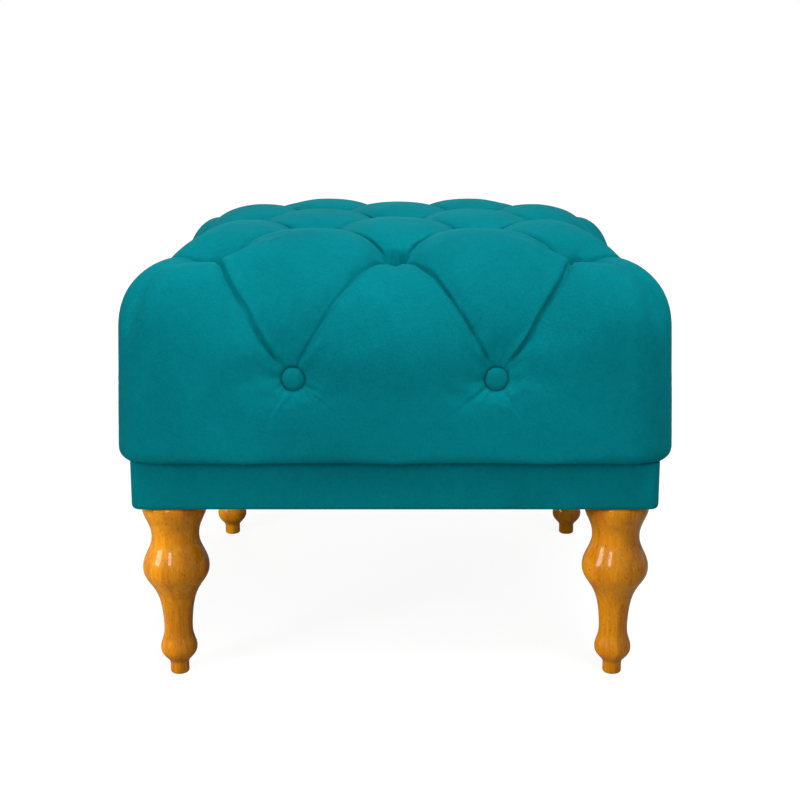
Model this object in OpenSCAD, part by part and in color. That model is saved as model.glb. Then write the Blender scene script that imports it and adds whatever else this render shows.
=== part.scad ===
// Deep-buttoned square pouf: a tufted cushion on a fabric-covered plinth with four turned legs.
// Millimetres, +Z up, front face towards -Y. The origin is on the floor under the middle.

/* [Cushion] */
// Side of the square cushion at its widest, low on the sides
cushion_side = 506; // [490:1:540]
// How much narrower the cushion is at the shoulder than at its foot, on each side
side_flare = 4; // [0:1:8]
// Height of the cushion's shoulder line over the plinth
cushion_h = 181; // [174:1:220]
// How far the middle of the top stands over the shoulder line
crown = 20; // [10:1:26]
// Radius of the shoulder in the middle of each side
shoulder_r = 98; // [86:1:104]
// Radius of the shoulder where a side nears its corners
end_shoulder_r = 62; // [54:1:70]
// Extra shoulder radius at the four corners
corner_softness = 24; // [10:1:36]
// Radius of the upright corners
corner_r = 44; // [30:1:60]
// Radius of the lower edge
foot_edge_r = 14; // [10:1:20]

/* [Tufting] */
// Distance between neighbouring buttons along a row on top
tuft_pitch = 160; // [150:1:166]
// Distance of each side button from the middle of its side
side_button_x = 90; // [75:1:105]
// Height of the side buttons over the plinth
side_button_h = 76; // [68:1:82]
// How deep a top button is drawn in
top_tuft_depth = 42; // [25:1:50]
// How deep a side button is drawn in
side_tuft_depth = 16; // [10:1:22]
// How deep the folds between the top buttons are
top_fold_depth = 13; // [8:1:16]
// How deep the folds down the sides are
side_fold_depth = 7; // [4:1:10]
// Thickness of the cover with its fibre wrap between the tufts' floors and the foam
wrap_t = 6; // [5:1:9]

/* [Buttons] */
// Diameter of a covered button
button_d = 22; // [18:1:26]
// Height of a button's domed cap
button_h = 7; // [5:0.5:9]
// Diameter of a button's back plate
back_plate_d = 15; // [12:1:17]
// Diameter of the tufting twine
twine_d = 2; // [1.5:0.1:2.5]
// Length of the toggle that holds each twine
toggle_l = 24; // [18:1:30]
// Diameter of that toggle
toggle_d = 6; // [5:0.5:8]

/* [Plinth] */
// How far the plinth is set back from the cushion's widest side
plinth_inset = 14; // [8:1:20]
// Height of the plinth
plinth_h = 45; // [40:1:60]
// Radius of the plinth's upright corners
plinth_corner_r = 8; // [5:1:12]
// Thickness of the rails
rail_t = 20; // [18:1:24]
// Side of the square corner blocks
block_side = 60; // [56:1:70]
// Thickness of the plywood deck
deck_t = 15; // [12:1:18]
// Thickness of the plinth's fabric
fabric_t = 1.5; // [1:0.1:2]
// Thickness of the dust cover
dust_cover_t = 0.5; // [0.4:0.1:0.8]

/* [Legs] */
// Height of the legs under the plinth
leg_h = 170; // [150:1:190]
// Distance of each leg's axis from the plinth's two sides
leg_inset = 34; // [32:1:39]
// Diameter of the collar at the top
collar_d = 60; // [56:1:62]
// Height of the neck over the floor
neck_z = 135.5; // [132:0.5:138]
// Diameter of the neck
neck_d = 44; // [38:1:48]
// Height of the bulb's widest place
bulb_z = 106.5; // [103:0.5:110]
// Diameter of the bulb
bulb_d = 61.5; // [56:0.5:64]
// Height of the waist
waist_z = 48.5; // [46:0.5:52]
// Diameter of the waist
waist_d = 26.5; // [24:0.5:29]
// Height of the foot ball's widest place
ball_z = 26.5; // [25:0.5:29]
// Diameter of the foot ball
ball_d = 34; // [31:0.5:37]
// Diameter of the toe that stands on the floor
toe_d = 17.5; // [15:0.5:20]

/* [Fasteners] */
// Diameter of the leg bolts
bolt_d = 8; // [6:1:10]
// Length of a leg bolt's wood thread inside the leg
bolt_wood_l = 40; // [30:1:50]
// Diameter of a leg nut's flange
nut_flange_d = 22; // [18:1:23]
// Diameter of the wood screws
screw_d = 4.5; // [4:0.5:5]
// Crown width of the staples
staple_w = 10; // [8:1:12]

/* [Hidden] */
$fn = 64;

FABRIC = "#0A7A84";
TIMBER = "#D8B98A";
PLY = "#C9A06A";
STEEL = "#A9ABAE";
LEG_WOOD = "#B4661B";
FOAM = "#F1E6B8";
BLACK = "#1B1B1D";
TWINE = "#E8E2D0";
clearance = 0.3;
bore_clearance = 0.25;

// Heights of the layers
plinth_z = leg_h;
cushion_z = plinth_z + plinth_h;
shoulder_z = cushion_z + cushion_h;
rail_z = plinth_z + fabric_t;
rail_h = plinth_h - 2 * fabric_t;
deck_z = cushion_z + fabric_t;
deck_top = deck_z + deck_t;
side_button_z = cushion_z + side_button_h;

// Plan of the plinth
plinth_half = cushion_side / 2 - plinth_inset;
frame_half = plinth_half - fabric_t;
rail_inner = frame_half - rail_t;
leg_offset = plinth_half - leg_inset;

// Plan of the cushion
half = cushion_side / 2 - side_flare;
foam_z = deck_top + clearance;

// The foam block follows the cover at one wrap's thickness under its deepest places.
foam_half = half - side_tuft_depth - wrap_t;
deck_half = foam_half;
foam_top = shoulder_z - top_fold_depth - wrap_t;
foam_edge_r = 60;
deck_corner_r = 44;
pit_mouth_r = 36;
pit_floor_r = 6;
cushion_hem_w = 40;

// Buttons, backs, twines and toggles
button_rim_h = 2.5;
back_t = 1.2;
shank_d = 5;
shank_l = 4;
twine_bore = twine_d + 2 * bore_clearance;
knot_r = 2.2;
toggle_z = deck_z - clearance - toggle_d / 2;
bend_h = 4;
bend_swell = 0.3;
side_hole_in = 72;

// Fasteners
wire = 0.9;
staple_leg = 8;
grip = 0.05;
screw_head_d = 2 * screw_d;
screw_head_h = screw_d * 0.6;
frame_screw_l = 45;
deck_screw_grip = 11;
nut_flange_t = 1.4;
nut_barrel_d = bolt_d + 2;
nut_barrel_l = 10;
block_cut = 25;
block_top = rail_z + rail_h;
frame_screw_in = 37.5;
deck_screw_in = [22.5, 45.5];
rail_staple_pitch = 110;
staple_pitch = 80;
hem_staple_in = 12;
dust_staple_in = 5;
dust_cover_lap = 14;
leg_cutout_r = collar_d / 2 + 1;
bolt_bore = bolt_d + 2 * bore_clearance;

// Sign of a number, +1 for zero
function side(x) = x < 0 ? -1 : 1;
// A step from 0 to 1 with soft ends
function soft_step(x) = let (c = max(0, min(1, x))) c * c * (3 - 2 * c);
// A turned curve from 0 to 1; k over 1 makes it start slowly
function ease(x, k) = 0.5 - 0.5 * cos(180 * pow(x, k));

// The tufted surface. (u, v) are places on the flat cloth, with a button wherever u and v are
// both even, or both odd, multiples of half the pitch. A square ring of the cloth at distance m
// from the middle lies on the top, over the shoulder or down the sides.
low_run = side_button_h - foot_edge_r;
cloth_half = 1.5 * tuft_pitch + low_run + foot_edge_r * PI / 2;

// The shoulder ends above the side buttons.
mid_shoulder_r = min(shoulder_r, cushion_h - side_button_h - 1);
function shoulder_at(t) = mid_shoulder_r
    + (end_shoulder_r - mid_shoulder_r) * soft_step((abs(t) - 0.45) / 0.4)
    + corner_softness * soft_step((abs(t) - 0.85) / 0.15);
// Length along the cushion's profile for a ring of the cloth
function run_at(m, run_button) =
    m <= tuft_pitch ? m
    : m <= 1.5 * tuft_pitch ? tuft_pitch + 2 * (m / tuft_pitch - 1) * (run_button - tuft_pitch)
    : run_button + m - 1.5 * tuft_pitch;

// How far the cloth is drawn in at (u, v)
function drawn_in(u, v) =
    let (m = max(abs(u), abs(v)),
        sum = (abs(u) + abs(v)) / tuft_pitch,
        gap = abs(abs(u) - abs(v)) / tuft_pitch,
        down = soft_step((m - tuft_pitch) / (0.5 * tuft_pitch)),
        fading = 1 - soft_step((m - 1.5 * tuft_pitch) / (0.3 * tuft_pitch)),
        past_corner = gap < 0.5 ? 1 - soft_step((sum - 2) / 0.5) : 1,
        wave_sum = sum > 2.5 ? 1 : abs(sin(180 * sum)),
        wave_gap = gap > 1.5 ? 1 : 1 - (1 - abs(sin(180 * gap))) * past_corner,
        across = 1 - (1 - wave_sum) * fading,
        along = 1 - (1 - wave_gap) * fading,
        puff = pow(across * along, 0.62),
        near_button = 1 - pow(max(across, along), 0.7),
        tuft = top_tuft_depth + (side_tuft_depth - top_tuft_depth) * down,
        fold = top_fold_depth + (side_fold_depth - top_fold_depth) * down)
    (fold + (tuft - fold) * near_button) * (1 - puff);

// A point of the cover's outer face
function cover_point(u, v) =
    let (m = max(abs(u), abs(v), 0.001),
        front = abs(v) >= abs(u),
        t = front ? u / m : v / m,
        r = shoulder_at(t),
        run_shoulder = half - r,
        run_side = run_shoulder + r * PI / 2,
        run_button = run_side + shoulder_z - r - side_button_z,
        run_foot = run_button + low_run,
        run = min(run_at(m, run_button), run_foot + foot_edge_r * PI / 2),
        over = max(0, min(90, (run - run_shoulder) / r * 180 / PI)),
        under = max(0, (run - run_foot) / foot_edge_r * 180 / PI),
        out = min(run, run_shoulder) + r * sin(over) - foot_edge_r * (1 - cos(under)),
        fall = max(0, min(run, run_foot) - run_side),
        z = shoulder_z - r * (1 - cos(over)) - fall - foot_edge_r * sin(under),
        down = soft_step((m - tuft_pitch) / (0.5 * tuft_pitch)),
        bend = (side_button_x / half - 1 / 3) * 4.5,
        share = side(t) * (abs(t) + down * bend * abs(t) * (1 - abs(t))),
        cr = max(0.001, corner_r - (half - out)),
        straight = out - cr,
        place = out * share,
        on_straight = max(-straight, min(straight, place)),
        past = place - on_straight,
        reach = sqrt(past * past + cr * cr),
        nx = past / reach,
        ny = cr / reach,
        ax = on_straight + cr * nx,
        ay = straight + cr * ny,
        s = front ? side(v) : side(u),
        x = front ? ax : s * ay,
        y = front ? s * ay : ax,
        low_share = (shoulder_z - r - z) / (shoulder_z - r - cushion_z),
        flare = 1 + side_flare / half * max(0, min(1, low_share)),
        dome = crown * max(0, 1 - pow(x / half, 4)) * max(0, 1 - pow(y / half, 4)),
        tilt = sin(over + under),
        d = drawn_in(u, v))
    [x * flare - (front ? nx : s * ny) * tilt * d,
        y * flare - (front ? s * ny : nx) * tilt * d,
        z + dome - cos(over + under) * d];

// Lines of the cloth: close by the buttons, even over the shoulder and down the sides
top_steps = [for (k = [0, 1], f = [0.16, 0.5, 0.84, 1]) (k + f) * tuft_pitch / 2];
shoulder_steps = [for (i = [1:5]) tuft_pitch * (1 + 0.1 * i)];
low_steps = [for (f = [0.4, 0.74, 0.87, 1]) 1.5 * tuft_pitch + f * (cloth_half - 1.5 * tuft_pitch)];
steps = concat([0], top_steps, shoulder_steps, low_steps);
lines = concat([for (i = [len(steps) - 1:-1:1]) -steps[i]], steps);
count = len(lines);
last = count - 1;

// Half cells of the cloth are split along the folds.
function cell(a) = floor(abs(a) / (tuft_pitch / 2));
function at(i, j) = i * count + j;
function corners(i, j) = [at(i, j), at(i + 1, j), at(i + 1, j + 1), at(i, j + 1)];
function split(i, j) =
    let (mid_u = (lines[i] + lines[i + 1]) / 2,
        mid_v = (lines[j] + lines[j + 1]) / 2,
        q = corners(i, j),
        rising = ((cell(mid_u) + cell(mid_v)) % 2 == 0) == (mid_u * mid_v > 0))
    rising
    ? [[q[2], q[1], q[0]], [q[3], q[2], q[0]]]
    : [[q[3], q[1], q[0]], [q[3], q[2], q[1]]];

// Where the buttons sit: middle of each tuft's floor
top_tufts = concat(
    [for (i = [-1:1], j = [-1:1]) [i * tuft_pitch, j * tuft_pitch]],
    [for (i = [-0.5, 0.5], j = [-0.5, 0.5]) [i * tuft_pitch, j * tuft_pitch]]);
top_seats = [for (p = top_tufts) cover_point(p[0], p[1])];
side_seat = -cover_point(tuft_pitch / 2, -1.5 * tuft_pitch)[1];
side_seat_x = cover_point(tuft_pitch / 2, -1.5 * tuft_pitch)[0];
SIDES = [0, 90, 180, 270];
PAIR = [-1, 1];

module at_top() { for (p = top_seats) translate(p) children(); }
module at_side(turn) {
    rotate([0, 0, turn]) for (s = PAIR)
        translate([s * side_seat_x, -side_seat, side_button_z]) rotate([90, 0, 0]) children();
}
module at_buttons() {
    at_top() children();
    for (turn = SIDES) at_side(turn) children();
}
module at_corners() { for (x = PAIR, y = PAIR) scale_corner(x, y) children(); }
module scale_corner(x, y) { mirror([x < 0 ? 1 : 0, 0, 0]) mirror([0, y < 0 ? 1 : 0, 0]) children(); }

// A square plate with round upright corners
module plate(h_side, r, t) {
    translate([-h_side + r, -h_side, 0]) cube([2 * (h_side - r), 2 * h_side, t]);
    translate([-h_side, -h_side + r, 0]) cube([2 * h_side, 2 * (h_side - r), t]);
    for (x = PAIR, y = PAIR) translate([x * (h_side - r), y * (h_side - r), 0]) cylinder(r = r, h = t);
}
// A block with round upright corners and a round upper edge
module soft_block(h_side, r, z0, z1) {
    translate([0, 0, z0]) plate(h_side, r, z1 - r - z0);
    inner = h_side - r;
    translate([-inner, -inner, z0]) cube([2 * inner, 2 * inner, z1 - z0]);
    for (turn = SIDES) rotate([0, 0, turn]) translate([-inner, -inner, z1 - r]) {
        rotate([0, 90, 0]) cylinder(r = r, h = 2 * inner);
        sphere(r = r);
    }
}

// Foam
module pits(extra) {
    for (p = top_seats) {
        floor_z = p[2] - wrap_t - shank_l;
        translate([p[0], p[1], floor_z]) cylinder(r1 = pit_floor_r - extra, r2 = pit_mouth_r - extra,
            h = foam_top - floor_z + 2 * extra + 0.1);
    }
}
module foam_shape(extra) {
    difference() {
        soft_block(foam_half + extra, foam_edge_r + extra, foam_z - extra, foam_top + extra);
        pits(extra);
    }
}
// Twine from the button's shank to the knot under its toggle; grow widens it into its hole
module top_twine(p, grow) {
    low = toggle_z - toggle_d / 2;
    translate([p[0], p[1], low]) cylinder(d = twine_d + 2 * grow, h = p[2] - 1 - low);
}
module side_twine(grow) {
    d = twine_d + 2 * grow;
    bend_z = foam_z + bend_h;
    straight = shank_l + twine_d;
    run_in = side_hole_in - straight;
    fall = side_button_z - bend_z;
    low = toggle_z - toggle_d / 2;
    for (s = PAIR) translate([s * side_seat_x, side_hole_in - side_seat, 0]) {
        translate([0, 0, low]) cylinder(d = d, h = bend_z - low);
        translate([0, 0, bend_z]) {
            sphere(d = d + bend_swell);
            rotate([atan2(run_in, fall), 0, 0]) cylinder(d = d, h = norm([run_in, fall]));
        }
        translate([0, -run_in, side_button_z]) {
            sphere(d = d + bend_swell);
            rotate([90, 0, 0]) cylinder(d = d, h = straight - 1);
        }
    }
}
module twine_ways(grow) {
    for (p = top_seats) top_twine(p, grow);
    for (turn = SIDES) rotate([0, 0, turn]) side_twine(grow);
}
module knots() {
    for (p = top_seats) translate([p[0], p[1], 0]) knot();
    for (turn = SIDES) rotate([0, 0, turn]) for (s = PAIR)
        translate([s * side_seat_x, side_hole_in - side_seat, 0]) knot();
}
module knot() {
    translate([0, 0, toggle_z - toggle_d / 2 - knot_r - bore_clearance]) sphere(r = knot_r);
}

// Fasteners
module staple(grow) {
    half_w = staple_w / 2 + grow;
    thick = wire + 2 * grow;
    translate([-half_w, -wire / 2 - grow, -wire - grow]) cube([2 * half_w, thick, thick]);
    for (s = PAIR) translate([s * (staple_w - wire) / 2, 0, -grow])
        cylinder(d = thick, h = staple_leg + 2 * grow);
}
module staple_row(n, pitch, inset, grow) {
    for (turn = SIDES) rotate([0, 0, turn]) for (i = [0:n - 1])
        translate([(i - (n - 1) / 2) * pitch, -inset, 0]) staple(grow);
}
module plinth_staples(grow) {
    translate([0, 0, cushion_z]) mirror([0, 0, 1])
        translate([0, 0, wire]) staple_row(4, rail_staple_pitch, frame_half - rail_t / 2, grow);
}
module dust_staples(grow) {
    translate([0, 0, plinth_z - dust_cover_t])
        staple_row(4, staple_pitch, rail_inner + dust_staple_in, grow);
}
module hem_staples(grow) {
    translate([0, 0, cushion_z]) staple_row(5, staple_pitch, rail_inner - hem_staple_in, grow);
}
// A countersunk screw with its head's face at the origin, running along +Z
module screw(length, grow) {
    cylinder(d1 = screw_head_d + 2 * grow, d2 = screw_d + 2 * grow, h = screw_head_h);
    cylinder(d = screw_d + 2 * grow, h = length + grow);
}
module frame_screw_set(grow) {
    at_corners() {
        translate([frame_half - rail_t - frame_screw_in, frame_half, rail_z + rail_h * 0.3])
            rotate([90, 0, 0]) screw(frame_screw_l, grow);
        translate([frame_half, frame_half - rail_t - frame_screw_in, rail_z + rail_h * 0.7])
            rotate([0, -90, 0]) screw(frame_screw_l, grow);
    }
}
module deck_screw_set(grow) {
    near = rail_inner - deck_screw_in[0];
    far = rail_inner - deck_screw_in[1];
    at_corners() for (p = [[near, far], [far, near]]) translate([p[0], p[1], plinth_z])
        screw(deck_z - plinth_z + deck_screw_grip, grow);
}

// Plinth frame
module rail_body() {
    translate([0, 0, rail_z]) intersection() {
        plate(frame_half, plinth_corner_r - fabric_t, rail_h);
        translate([-frame_half, -frame_half, 0]) cube([2 * frame_half, rail_t, rail_h]);
    }
}
module rail_holes() {
    plinth_staples(grip);
    dust_staples(grip);
    frame_screw_set(grip);
}
module long_rail(turn) {
    color(TIMBER) difference() {
        rotate([0, 0, turn]) rail_body();
        rail_holes();
    }
}
module short_rail(turn) {
    color(TIMBER) difference() {
        rotate([0, 0, turn]) translate([-rail_inner, -frame_half, rail_z])
            cube([2 * rail_inner, rail_t, rail_h]);
        rail_holes();
    }
}
module block(x, y) {
    low = block_side - block_cut;
    color(TIMBER) difference() {
        scale_corner(x, y) translate([rail_inner, rail_inner, plinth_z]) rotate([0, 0, 180])
            linear_extrude(block_top - plinth_z)
                polygon([[0, 0], [block_side, 0], [block_side, low], [low, block_side],
                    [0, block_side]]);
        scale_corner(x, y) {
            translate([leg_offset, leg_offset, plinth_z - 1]) cylinder(d = bolt_bore, h = plinth_h);
            translate([leg_offset, leg_offset, block_top - nut_barrel_l - bore_clearance])
                cylinder(d = nut_barrel_d + 2 * bore_clearance, h = nut_barrel_l + 1);
        }
        frame_screw_set(grip);
        deck_screw_set(grip);
        dust_staples(grip);
    }
}
module frame_screws() { color(STEEL) frame_screw_set(0); }

// Plinth fabric, turned in over the top and the underside of the rails
module plinth_cover() {
    color(FABRIC) difference() {
        translate([0, 0, plinth_z]) plate(plinth_half, plinth_corner_r, plinth_h);
        translate([0, 0, rail_z]) plate(frame_half, plinth_corner_r - fabric_t, rail_h);
        translate([-rail_inner, -rail_inner, plinth_z - 1])
            cube([2 * rail_inner, 2 * rail_inner, plinth_h + 2]);
        plinth_staples(grip);
        dust_staples(grip);
    }
}
module plinth_cover_staples() { color(STEEL) plinth_staples(0); }
module dust_cover() {
    edge = frame_half - rail_t + dust_cover_lap;
    color(BLACK) difference() {
        translate([-edge, -edge, plinth_z - dust_cover_t])
            cube([2 * edge, 2 * edge, dust_cover_t]);
        at_corners() translate([leg_offset, leg_offset, plinth_z - 2]) {
            cylinder(r = leg_cutout_r, h = 4);
            cube([block_side, block_side, 4]);
        }
        dust_staples(grip);
    }
}
module dust_cover_staples() { color(STEEL) dust_staples(0); }

// Deck
module deck_board() {
    color(PLY) difference() {
        translate([0, 0, deck_z]) plate(deck_half, deck_corner_r, deck_t);
        twine_ways(bore_clearance);
        deck_screw_set(grip);
        hem_staples(grip);
    }
}
module deck_screws() { color(STEEL) deck_screw_set(0); }

// Foam block with a pit for each top tuft
module foam_core() {
    color(FOAM) difference() {
        foam_shape(0);
        twine_ways(bore_clearance);
    }
}

// Tufted cover, backed with its fibre wrap and open underneath inside its hem
module cloth_solid() {
    points = [for (u = lines, v = lines) cover_point(u, v)];
    rim = concat(
        [for (i = [0:last]) i * count],
        [for (j = [1:last]) last * count + j],
        [for (i = [last - 1:-1:0]) i * count + last],
        [for (j = [last - 1:-1:1]) j]);
    faces = concat([for (i = [0:last - 1], j = [0:last - 1]) each split(i, j)], [rim]);
    polyhedron(points, faces);
}
module cushion_cover() {
    hem_inner = deck_half - cushion_hem_w;
    color(FABRIC) difference() {
        cloth_solid();
        foam_shape(clearance);
        translate([0, 0, deck_z])
            plate(deck_half + clearance, deck_corner_r + clearance, deck_t + clearance);
        translate([-hem_inner, -hem_inner, cushion_z - 1])
            cube([2 * hem_inner, 2 * hem_inner, deck_t]);
        at_buttons() {
            cylinder(d = button_d + 2 * bore_clearance, h = top_tuft_depth);
            translate([0, 0, -wrap_t - shank_l])
                cylinder(d = shank_d + 2 * bore_clearance, h = wrap_t + 2 * shank_l);
        }
        for (turn = SIDES) rotate([0, 0, turn]) side_twine(bore_clearance);
        deck_screw_set(grip);
        hem_staples(grip);
    }
}
module cushion_hem_staples() { color(STEEL) hem_staples(0); }

// Covered buttons
module button_cap() {
    rim_r = button_d / 2;
    dome = button_h - button_rim_h;
    arc = [for (a = [0:10:90]) [rim_r * cos(a), button_rim_h + dome * sin(a)]];
    difference() {
        rotate_extrude() polygon(concat([[0, 0], [rim_r - 1, 0], [rim_r, 1]], arc));
        translate([0, 0, -1])
            cylinder(d = back_plate_d + 2 * bore_clearance, h = 1 + back_t + bore_clearance);
    }
}
module button_back() {
    difference() {
        union() {
            cylinder(d = back_plate_d, h = back_t);
            translate([0, 0, -shank_l]) cylinder(d = shank_d, h = shank_l);
        }
        translate([0, 0, -shank_l - 1]) cylinder(d = twine_bore, h = shank_l + 1);
    }
}
module top_buttons() { color(FABRIC) at_top() button_cap(); }
module front_buttons() { color(FABRIC) at_side(0) button_cap(); }
module right_buttons() { color(FABRIC) at_side(90) button_cap(); }
module rear_buttons() { color(FABRIC) at_side(180) button_cap(); }
module left_buttons() { color(FABRIC) at_side(270) button_cap(); }
module button_backs() { color(STEEL) at_buttons() button_back(); }
module button_twines() {
    color(TWINE) {
        twine_ways(0);
        knots();
    }
}
module toggle(angle) {
    rotate([0, 0, angle]) difference() {
        translate([-toggle_l / 2, 0, toggle_z]) rotate([0, 90, 0])
            cylinder(d = toggle_d, h = toggle_l);
        translate([0, 0, toggle_z - toggle_d]) cylinder(d = twine_bore, h = 2 * toggle_d);
    }
}
module twine_toggles() {
    color(PLY) {
        for (p = top_seats) translate([p[0], p[1], 0]) toggle(p[0] * p[1] > 0 ? -45 : 45);
        for (turn = SIDES) rotate([0, 0, turn]) for (s = PAIR)
            translate([s * side_seat_x, side_hole_in - side_seat, 0]) toggle(0);
    }
}

// Turned leg: radii at heights, from the toe to the collar
toe_round = 2;
toe_h = 10;
collar_z = leg_h - 5;
// The curve from the bulb down to the waist, 1 at the bulb and 0 at the waist
hip_mid = 0.36;
hip_power = 2.6;
function bell(x) = 1 / (1 + pow(x / hip_mid, hip_power));
function hip(x) = (bell(x) - bell(1)) / (1 - bell(1));
function radius(low_d, high_d, share) = (low_d + (high_d - low_d) * share) / 2;
function height(low_z, high_z, share) = low_z + (high_z - low_z) * share;
leg_outline = concat(
    [[0, 0]],
    [for (a = [0:15:90])
        [toe_d / 2 - toe_round * (1 - sin(a)), toe_round * (1 - cos(a))]],
    [for (x = [1:-0.125:0]) [radius(ball_d, toe_d, ease(x, 1.4)), height(ball_z, toe_h, x)]],
    [for (x = [0.875:-0.125:0])
        [radius(waist_d, ball_d, ease(x, 1.6)), height(waist_z, ball_z, x)]],
    [for (x = [0.9375:-0.0625:0])
        [radius(waist_d, bulb_d, hip(x)), height(bulb_z, waist_z, x)]],
    [for (x = [0.125:0.125:1]) [radius(bulb_d, neck_d, ease(x, 1)), height(bulb_z, neck_z, x)]],
    [for (x = [0.125:0.125:1])
        [radius(neck_d, collar_d, ease(x, 1.2)), height(neck_z, collar_z, x)]],
    [[collar_d / 2, leg_h], [0, leg_h]]);
module leg(x, y) {
    color(LEG_WOOD) scale_corner(x, y) translate([leg_offset, leg_offset, 0]) difference() {
        rotate_extrude() polygon(leg_outline);
        translate([0, 0, leg_h - bolt_wood_l - 1]) cylinder(d = bolt_bore, h = bolt_wood_l + 2);
    }
}
module leg_bolts() {
    color(STEEL) at_corners() translate([leg_offset, leg_offset, leg_h - bolt_wood_l])
        cylinder(d = bolt_d, h = block_top - leg_h + bolt_wood_l);
}
module leg_nuts() {
    color(STEEL) at_corners() translate([leg_offset, leg_offset, 0]) difference() {
        union() {
            translate([0, 0, block_top]) cylinder(d = nut_flange_d, h = nut_flange_t);
            translate([0, 0, block_top - nut_barrel_l]) cylinder(d = nut_barrel_d, h = nut_barrel_l);
        }
        translate([0, 0, block_top - nut_barrel_l - 1])
            cylinder(d = bolt_bore, h = nut_barrel_l + nut_flange_t + 2);
    }
}

long_rail(0);  // front_rail
long_rail(180);  // rear_rail
short_rail(270);  // left_rail
short_rail(90);  // right_rail
block(-1, -1);  // front_left_block
block(1, -1);  // front_right_block
block(-1, 1);  // rear_left_block
block(1, 1);  // rear_right_block
frame_screws();
plinth_cover();
plinth_cover_staples();
dust_cover();
dust_cover_staples();
deck_board();
deck_screws();
foam_core();
cushion_cover();
cushion_hem_staples();
top_buttons();
front_buttons();
rear_buttons();
left_buttons();
right_buttons();
button_backs();
button_twines();
twine_toggles();
leg(-1, -1);  // front_left_leg
leg(1, -1);  // front_right_leg
leg(-1, 1);  // rear_left_leg
leg(1, 1);  // rear_right_leg
leg_bolts();
leg_nuts();
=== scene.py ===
"""The look of a tufted pouf: a deep-buttoned velvet cushion on a covered plinth with turned legs.

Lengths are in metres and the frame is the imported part's own. The cushion's cover is tufted by the
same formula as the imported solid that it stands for. Only its pillows are puffier, its side folds
shallower and its foot smaller and softer. The other pieces take the sizes of their solids.
"""

import logging
import math
from dataclasses import dataclass, field
from enum import Enum
from typing import Any, Iterable, Sequence

import bmesh
import bpy
from mathutils import Matrix, Vector, noise


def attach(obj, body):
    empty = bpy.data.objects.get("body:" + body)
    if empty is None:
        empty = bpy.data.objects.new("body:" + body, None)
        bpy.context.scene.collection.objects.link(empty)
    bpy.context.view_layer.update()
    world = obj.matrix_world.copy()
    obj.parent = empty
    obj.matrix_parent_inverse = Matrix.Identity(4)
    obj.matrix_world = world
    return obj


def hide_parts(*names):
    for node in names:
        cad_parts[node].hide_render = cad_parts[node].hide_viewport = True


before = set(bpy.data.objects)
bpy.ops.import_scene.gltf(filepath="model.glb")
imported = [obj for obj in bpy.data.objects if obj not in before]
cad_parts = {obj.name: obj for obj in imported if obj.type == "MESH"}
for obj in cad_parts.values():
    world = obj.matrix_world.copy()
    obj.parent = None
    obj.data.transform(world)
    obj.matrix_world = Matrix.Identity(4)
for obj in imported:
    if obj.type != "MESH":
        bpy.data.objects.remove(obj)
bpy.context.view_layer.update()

LOG = logging.getLogger("pouf")
BODY = "root"
TAU = 2 * math.pi
FAR_OFF = (9.0, 9.0)

Colour = tuple[float, float, float, float]
WHITE: Colour = (1.0, 1.0, 1.0, 1.0)


def srgb(red: int, green: int, blue: int) -> Colour:
    """Turns a colour written in 0 to 255 into the linear colour that a shader takes.

    Args:
        red: Red, 0 to 255.
        green: Green, 0 to 255.
        blue: Blue, 0 to 255.

    Returns:
        The linear colour with full alpha.
    """
    out = []
    for part in (red, green, blue):
        x = part / 255
        out.append(x / 12.92 if x <= 0.04045 else ((x + 0.055) / 1.055) ** 2.4)
    return (out[0], out[1], out[2], 1.0)


def soft_step(x: float, start: float, width: float) -> float:
    """A step from 0 to 1 with soft ends.

    Args:
        x: Where it is read.
        start: Where the step begins.
        width: How far it takes.

    Returns:
        The height of the step there.
    """
    share = min(1.0, max(0.0, (x - start) / width))
    return share * share * (3 - 2 * share)


def sign(x: float) -> float:
    """The sign of a number, +1 for zero."""
    return -1.0 if x < 0 else 1.0


def bump(x: float, width: float) -> float:
    """A bell curve of height 1 round zero."""
    return math.exp(-((x / width) ** 2))


def cloth_noise(u: float, v: float, scale: float, seed: float) -> float:
    """Smooth noise from -1 to 1 at a place on a cloth, with so many lumps to a metre."""
    return noise.noise(Vector((u * scale, v * scale, seed)))


class Value:
    """A shader socket that adds its own maths nodes when it is used in an expression."""

    def __init__(self, graph: "Graph", socket: bpy.types.NodeSocket) -> None:
        """Keeps the socket and the graph that it belongs to."""
        self.graph = graph
        self.socket = socket

    def _with(self, operation: str, other: "Value | float", flip: bool = False) -> "Value":
        """Adds one Math node.

        Args:
            operation: The Math node's operation.
            other: The other operand.
            flip: Whether this value comes second.

        Returns:
            The node's result.
        """
        operands = {0: other, 1: self} if flip else {0: self, 1: other}
        return self.graph.value("ShaderNodeMath", {"operation": operation}, operands)

    def __add__(self, other: "Value | float") -> "Value":
        """self + other."""
        return self._with("ADD", other)

    def __radd__(self, other: float) -> "Value":
        """other + self."""
        return self._with("ADD", other)

    def __sub__(self, other: "Value | float") -> "Value":
        """self - other."""
        return self._with("SUBTRACT", other)

    def __rsub__(self, other: float) -> "Value":
        """other - self."""
        return self._with("SUBTRACT", other, flip=True)

    def __mul__(self, other: "Value | float") -> "Value":
        """self * other."""
        return self._with("MULTIPLY", other)

    def __rmul__(self, other: float) -> "Value":
        """other * self."""
        return self._with("MULTIPLY", other)

    def sloped(self, low: float, high: float) -> "Value":
        """A straight line from 0 at low to 1 at high, held between them.

        Args:
            low: Where this value gives 0.
            high: Where this value gives 1.

        Returns:
            The sloped value.
        """
        share = (self - low) * (1 / (high - low))
        share.socket.node.use_clamp = True
        return share


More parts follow.
